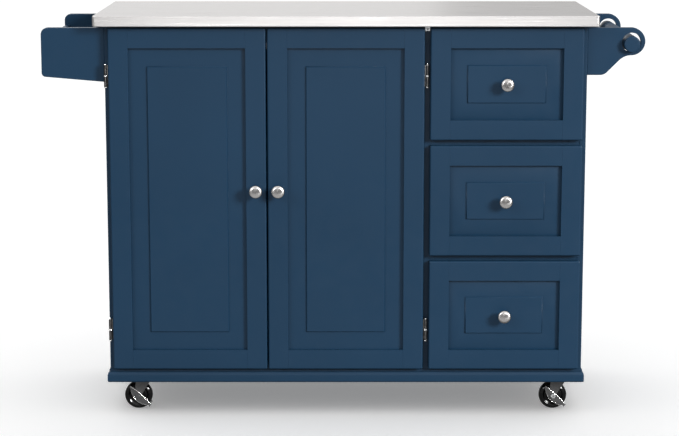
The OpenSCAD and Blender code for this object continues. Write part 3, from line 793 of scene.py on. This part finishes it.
def make_hinges():
    """Barrels, rings and leaves: one pair of shapes for the frame's side and one for each door's. Barrels and
    leaves carry the painted dark reflection, rings and ball tips the painted highlight.
    """
    frame_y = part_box("side_left")[0].y
    fixed, fixed_rings = Shape(), Shape()
    for side, inwards in (("left", 1), ("right", -1)):
        moving, moving_rings = Shape(), Shape()
        door_lo, door_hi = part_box("door_%s_frame" % side)
        edge = door_lo.x if inwards > 0 else door_hi.x
        for x, y, z0, z1 in hinge_axes(side):
            mid = (z0 + z1) / 2
            knuckle(fixed, fixed_rings, x, y, z0, mid - KNUCKLE_GAP, mid - KNUCKLE_GAP - RING_H)
            knuckle(moving, moving_rings, x, y, mid + KNUCKLE_GAP, z1, mid + KNUCKLE_GAP)
            finial(fixed_rings, x, y, z1 + 2 * KNUCKLE_GAP, 1)
            finial(fixed_rings, x, y, z0 - 2 * KNUCKLE_GAP, -1)
            fixed.turned(rod(0.4 * BARREL_R, z1 - z0 + 4 * KNUCKLE_GAP),
                         (x, y, z0 - 2 * KNUCKLE_GAP), (0, 0, 1), steps=16)
            leaf_plates(fixed, x, y + 0.9 * BARREL_R, frame_y, inwards, z0, z1)
            door_plates(moving, x, y, edge, door_hi.y, inwards, mid + KNUCKLE_GAP, z0, z1)
        # Barrels and leaves in nickel painted dark as a reflection, rings and tips in nickel painted bright as a
        # highlight.
        finish(moving, "door_%s_hinge_leaves" % side, material=HINGE_STEEL_PAINTED_REFLECTION)
        finish(moving_rings, "door_%s_hinge_leaves" % side, "rings", NICKEL_PAINTED_HIGHLIGHT)
    finish(fixed, "hinge_frame_leaves", material=HINGE_STEEL_PAINTED_REFLECTION)
    finish(fixed_rings, "hinge_frame_leaves", "rings", NICKEL_PAINTED_HIGHLIGHT)


def span(a, b):
    """The two ends in rising order."""
    return (a, b) if a < b else (b, a)


def leaf_plates(shape, x, y0, frame_y, inwards, z0, z1):
    """Web straight back from the barrel and foot along the face frame."""
    shape.board((x - LEAF_T / 2, y0 + 0.8 * MM, z0), (x + LEAF_T / 2, frame_y - LEAF_T / 2, z1), 0.2 * MM)
    a, b = span(x - inwards * LEAF_T / 2, x + inwards * LEAF_FOOT)
    shape.board((a, frame_y - LEAF_T, z0), (b, frame_y - 0.05 * MM, z1), 0.2 * MM)


def door_plates(shape, x, y, edge, back_y, inwards, tongue_z, z0, z1):
    """Tongue from the knuckle, plate along the door's edge and foot on its back."""
    a, b = span(x + inwards * 0.7 * BARREL_R, edge - inwards * LEAF_T / 2)
    shape.board((a, y - LEAF_T / 2, tongue_z), (b, y + LEAF_T / 2, z1), 0.2 * MM)
    a, b = span(edge - inwards * LEAF_T, edge)
    shape.board((a, y - LEAF_T / 2, z0), (b, back_y + LEAF_T / 2, z1), 0.2 * MM)
    a, b = span(edge - inwards * LEAF_T, x + inwards * LEAF_FOOT)
    shape.board((a, back_y, z0), (b, back_y + LEAF_T, z1), 0.2 * MM)


# ---------------------------------------------------------------- spice rack and towel bar

def rounded_polygon(corners, steps=8):
    """An anticlockwise outline through (point, radius) corners, each rounded by its own arc."""
    outline = []
    n = len(corners)
    for i, (point, radius) in enumerate(corners):
        p = Vector(point)
        a = (Vector(corners[i - 1][0]) - p).normalized()
        b = (Vector(corners[(i + 1) % n][0]) - p).normalized()
        if radius == 0:
            outline.append(tuple(p))
            continue
        half = a.angle(b) / 2
        centre = p + (a + b).normalized() * radius / math.sin(half)
        first = p + a * radius / math.tan(half) - centre
        last = p + b * radius / math.tan(half) - centre
        sweep = first.angle_signed(last)
        for k in range(steps + 1):
            turn = -sweep * k / steps
            c, s = math.cos(turn), math.sin(turn)
            outline.append((centre.x + c * first.x - s * first.y, centre.y + s * first.x + c * first.y))
    return outline


def make_rack():
    """Spice rack: two shaped ends, an outer board and a bottom."""
    slope = 12 * MM
    for node in ("rack_end_front", "rack_end_back"):
        lo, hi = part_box(node)
        outline = rounded_polygon([((hi.x, lo.z), 0), ((hi.x, hi.z), 0), ((lo.x, hi.z), 15 * MM),
                                   ((lo.x, lo.z + slope), 9 * MM)])
        shape = Shape()
        shape.plate([outline], lo.y, hi.y, 1.6 * MM)
        finish(shape, node)
    rebuild_boards("rack_board", 1.5 * MM)
    rebuild_boards("rack_bottom", 0.8 * MM)


def bracket_outline(lo, hi, end_x, end_r):
    """Round end joined to a flat underside by a swell, a 45 degree slope and a cove."""
    swell = 21 * MM
    cove = 38 * MM
    top = hi.z
    rise = top - 2 * end_r - lo.z
    run = rise + (swell + cove) * (math.sqrt(2) - 1)
    points = [(lo.x, top), (lo.x, lo.z)]
    points += arc((end_x - run, lo.z + swell), swell, -90, -45, 6)
    points += arc((end_x, top - 2 * end_r - cove), cove, 135, 90, 10)[:-1]
    points += arc((end_x, top - end_r), end_r, -90, 90, 28)
    return points


def make_towel_brackets():
    """Brackets whose holes leave the bar loose, with the gap above it."""
    hole_r = 21.5 * MM
    drop = 2 * MM
    bar_lo, bar_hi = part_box("towel_bar")
    end_x = (bar_lo.x + bar_hi.x) / 2
    for node in ("towel_bracket_front", "towel_bracket_back"):
        lo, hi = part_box(node)
        end_r = hi.x - end_x
        hole = circle((end_x, hi.z - end_r - drop), hole_r, 64)
        shape = Shape()
        shape.plate([bracket_outline(lo, hi, end_x, end_r), hole], lo.y, hi.y, 1.4 * MM)
        finish(shape, node)


def make_towel_bar():
    """Turned dowel with eased ends."""
    lo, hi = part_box("towel_bar")
    r = (hi.x - lo.x) / 2
    length = hi.y - lo.y
    ease = [(r - 2.4 * MM, 0), (r - 1.2 * MM, 0.35 * MM), (r - 0.35 * MM, 1.2 * MM), (r, 2.4 * MM)]
    half = [(0, 0), (0.6 * r, 0)] + ease
    profile = half + [(u, length - v) for u, v in reversed(half)]
    shape = Shape()
    shape.turned(profile, ((lo.x + hi.x) / 2, hi.y, (lo.z + hi.z) / 2), (0, -1, 0), steps=72)
    finish(shape, "towel_bar")


# ---------------------------------------------------------------- casters

AXLE_R = 4 * MM
AXLE_PLAY = 0.05 * MM
NUT_R = 6 * MM
NUT_H = 4 * MM
CROWN_T = 3 * MM
LEG_Y = 12.5 * MM
LEG_T = 2 * MM
LEVER_T = 1.5 * MM
LEVER_LIP = 1.0 * MM
LEVER_SLOPE = math.radians(-43)


def axle_of(corner):
    """Centre of that corner's wheel."""
    lo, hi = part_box("caster_%s_wheel" % corner)
    return (lo + hi) / 2


def swivel_of(corner):
    """A point on that corner's kingpin."""
    return Vector(joint_at("caster_%s_swivel" % corner))


def hex_nut(shape, at, axis):
    """Hexagon nut or bolt head with chamfered corners."""
    start = len(shape.verts)
    levels = ((0.93, 0), (1.0, 0.5 * MM), (1.0, NUT_H - 0.6 * MM), (0.92, NUT_H))
    shape.stack([[(x, y, up) for x, y in circle((0, 0), NUT_R * scale, 6)] for scale, up in levels])
    turn = Vector((0, 0, 1)).rotation_difference(Vector(axis)).to_matrix().to_4x4()
    shape.moved(start, Matrix.Translation(at) @ turn)


def make_fork(corner):
    """Pressed fork: a round crown and two tapering legs, with the axle bolt through them."""
    node = "caster_%s_fork" % corner
    lo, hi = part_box(node)
    axle, swivel = axle_of(corner), swivel_of(corner)
    trail = swivel.x - axle.x
    crown_r = hi.x - swivel.x
    half = crown_r - 2 * MM
    bore = 5.1 * MM
    crown_z = hi.z - CROWN_T
    shape = Shape()
    shape.turned([(bore, 0), (crown_r - 1 * MM, 0), (crown_r, 0.8 * MM), (crown_r, 2.2 * MM),
                  (crown_r - 0.8 * MM, CROWN_T), (bore, CROWN_T)],
                 (swivel.x, swivel.y, crown_z), (0, 0, 1), steps=64)
    up = crown_z - axle.z
    boss_r, waist = 9 * MM, 8.9 * MM
    leg = arc((0, 0), boss_r, 200, 340, 18)
    leg += [(waist, 5 * MM), (trail + half, up), (trail - half, up), (-waist, 5 * MM)]
    outline = [(axle.x + x, axle.z + z) for x, z in leg]
    hole = circle((axle.x, axle.z), AXLE_R, 32)
    for leg_y in (axle.y + LEG_Y, axle.y - LEG_Y - LEG_T):
        shape.plate([outline, hole], leg_y, leg_y + LEG_T, 0.4 * MM, steps=2)
    finish(shape, node)
    reach = (hi.y - lo.y) / 2 - NUT_H
    nut_way = -1 if corner[1] == "r" else 1
    make_axle_bolt(node, axle, reach, nut_way)


def make_axle_bolt(node, axle, reach, nut_way):
    """Dark bolt with its hexagon head at one end and a bright zinc nut at the other."""
    bolt, nut = Shape(), Shape()
    bolt.turned(rod(AXLE_R - AXLE_PLAY, 2 * reach), (axle.x, axle.y - reach, axle.z), (0, 1, 0), steps=32)
    hex_nut(bolt, (axle.x, axle.y - nut_way * reach, axle.z), (0, -nut_way, 0))
    hex_nut(nut, (axle.x, axle.y + nut_way * reach, axle.z), (0, nut_way, 0))
    bolt.turned([(0, 0), (2.2 * MM, 0), (1.8 * MM, 0.6 * MM), (0, 0.9 * MM)],
                (axle.x, axle.y + nut_way * (reach + 3.5 * MM), axle.z), (0, nut_way, 0), steps=20)
    finish(bolt, node, "bolt")
    finish(nut, node, "nut", MATERIALS["zinc"])


def lever_arcs():
    """Belly and back of the leaf, from one tip to the other and back, about the axle."""
    chord = 66 * MM
    belly_bulge, back_bulge = 16 * MM, 2.7 * MM
    shift = 4.5 * MM
    c, s = math.cos(LEVER_SLOPE), math.sin(LEVER_SLOPE)
    arcs = []
    for bulge, way in ((belly_bulge, -1), (back_bulge, 1)):
        r = (chord * chord / 4 + bulge * bulge) / (2 * bulge)
        half = math.degrees(math.asin(chord / 2 / r))
        points = arc((0, way * (bulge - r)), r, way * 90 - half, way * 90 + half, 22)
        points = [(x + shift, z + shift) for x, z in points]
        arcs.append([(c * x - s * z, s * x + c * z) for x, z in points])
    return arcs


def left_of(path, k):
    """Unit vector to the left of an open path at its point k."""
    ahead = Vector(path[min(k + 1, len(path) - 1)]) - Vector(path[max(k - 1, 0)])
    return Vector((-ahead.y, ahead.x)).normalized()


def offset_path(path, distance):
    """Moves an open path of (x, z) to its left by distance."""
    return [tuple(Vector(point) + left_of(path, k) * distance) for k, point in enumerate(path)]


def rolled_edge(shape, path, y, r):
    """A round bead of radius r that follows path, thinning out at both ends."""
    rows = []
    for k, (x, z) in enumerate(path):
        side = left_of(path, k)
        thin = r * min(1, 0.3 + 0.35 * min(k, len(path) - 1 - k))
        rows.append(shape.ring([(x + side.x * u, y + v, z + side.y * u)
                                for u, v in circle((0, 0), thin, 10)]))
    for lower, upper in zip(rows, rows[1:]):
        shape.skin(upper, lower)
    shape.cap(rows[-1], flip=True)
    shape.cap(rows[0])


def make_brake(side, corner):
    """Brake lever: a leaf-shaped cheek on each side of the fork and a pedal between their tips. The beads along
    each cheek's back and belly are in nickel painted bright, a painted highlight on the rims.
    """
    node = "brake_" + side
    lo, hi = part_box(node)
    axle = axle_of(corner)
    belly, back = [[(axle.x + x, axle.z + z) for x, z in points] for points in lever_arcs()]
    hole = circle((axle.x, axle.z), AXLE_R + AXLE_PLAY, 32)
    y0, y1 = lo.y + LEVER_LIP, hi.y - LEVER_LIP
    shape, edges = Shape(), Shape()
    for a in (y0, y1 - LEVER_T):
        shape.plate([belly[:-1] + back[:-1], hole], a, a + LEVER_T, 0.45 * MM, steps=2)
    in_x = LEVER_LIP / 2 * math.sin(LEVER_SLOPE)
    in_z = -LEVER_LIP / 2 * math.cos(LEVER_SLOPE)
    inner = [(x + in_x, z + in_z) for x, z in back]
    # Rim beads: their bright nickel is a painted highlight, not a different metal.
    for y in (y0 - 0.1 * MM, y1 + 0.1 * MM):
        rolled_edge(edges, inner, y, 0.9 * LEVER_LIP)
    for y in (y0, y1):
        rolled_edge(edges, offset_path(belly, 0.35 * MM), y, 0.3 * MM)
    start = len(shape.verts)
    tip_x, pedal_t, gap = 34.5 * MM, 2 * MM, 0.3 * MM
    shape.board((tip_x, y0 - axle.y + gap, -2.4 * MM),
                (tip_x + pedal_t, y1 - axle.y - gap, 1.5 * MM), 0.7 * MM)
    shape.moved(start, Matrix.Translation(axle) @ Matrix.Rotation(-LEVER_SLOPE, 4, "Y"))
    finish(shape, node)
    finish(edges, node, "edges", NICKEL_PAINTED_HIGHLIGHT)


def make_caster_plates():
    """Mounting plates with ball-race housings, kingpins and four screws each."""
    plate_t = 2 * MM
    half = 29 * MM
    hole_at = 22 * MM
    gap = 0.3 * MM
    block_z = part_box("caster_blocks")[0].z
    plate_z = block_z - plate_t
    shape = Shape()
    for corner in ("fl", "fr", "rl", "rr"):
        at = swivel_of(corner)
        crown_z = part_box("caster_%s_fork" % corner)[1].z
        outline = rounded_rect(at.x - half, at.x + half, at.y - half, at.y + half, 5 * MM)
        levels = ((0.5 * MM, plate_z), (0, plate_z + 0.5 * MM), (0, block_z))
        shape.stack([[(x, y, z) for x, y in offset_loop(outline, inset)] for inset, z in levels])
        race = plate_z - crown_z - gap
        shape.turned([(0, 0), (16 * MM, 0), (19 * MM, 1.2 * MM), (20 * MM, 3 * MM), (19.5 * MM, 5.5 * MM),
                      (17.5 * MM, race), (0, race)], (at.x, at.y, crown_z + gap), (0, 0, 1), steps=64)
        head_z = crown_z - CROWN_T - gap
        shape.turned(rod(5 * MM, CROWN_T + 2 * gap), (at.x, at.y, head_z), (0, 0, 1), steps=32)
        shape.turned([(0, 0), (8 * MM, 0), (8 * MM, 1.2 * MM), (6.5 * MM, 2 * MM), (0, 2 * MM)],
                     (at.x, at.y, head_z), (0, 0, -1), steps=32)
        for dx in (-hole_at, hole_at):
            for dy in (-hole_at, hole_at):
                screw(shape, (at.x + dx, at.y + dy, plate_z), (0, 0, -1), 4 * MM, 2 * MM)
    finish(shape, "caster_plates")


def wheel_profile(r, h, bore):
    """(radius, across) points of half a wheel: hub, dished web with a bead, a ridge and a round tread."""
    points = [(0.26, 0), (0.29, 0.4), (0.31, 2.4), (0.36, 3.2), (0.44, 3.2), (0.48, 2.5), (0.51, 2.4),
              (0.54, 2.6), (0.58, 3.3), (0.62, 3.3), (0.71, 1.3), (0.735, 0.7), (0.76, 0.5), (0.785, 0.7),
              (0.88, 2.4), (0.94, 3.7), (0.98, 5.2), (1.0, 7.0)]
    return [(bore, h)] + [(u * r, h - v * MM) for u, v in points]


def make_wheel(corner):
    """Wheel turned from its profile, the same on both sides."""
    node = "caster_%s_wheel" % corner
    lo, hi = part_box(node)
    r = (hi.x - lo.x) / 2
    half = wheel_profile(r, (hi.y - lo.y) / 2, AXLE_R + AXLE_PLAY)
    shape = Shape()
    shape.turned([(u, -v) for u, v in half] + half[::-1], (lo + hi) / 2, (0, 1, 0), steps=96)
    finish(shape, node)


# ---------------------------------------------------------------- build

make_camera()
floor = make_floor()
make_backdrop()
make_world(horizon=0.22, zenith=1.25)
bpy.context.scene.view_settings.view_transform = "Standard"

for cad_name, cad_object in frame["nodes"].items():
    cad_object.data.materials.clear()
    cad_object.data.materials.append(MATERIALS[SLOT_OF[cad_name]])

worktop = make_worktop()
make_clip()
make_cabinet()
make_catch()
knobs = []
for side in ("left", "right"):
    make_door(side)
    knobs.append(make_knob("door_%s_knob" % side))
for number in (1, 2, 3):
    make_drawer(number)
    knobs.append(make_knob("drawer_%d_knob" % number))
make_hinges()
make_rack()
make_towel_brackets()
make_towel_bar()
for corner in ("fl", "fr", "rl", "rr"):
    make_wheel(corner)
    make_fork(corner)
make_brake("left", "fl")
make_brake("right", "fr")
make_caster_plates()

light_studio(floor, worktop, knobs)
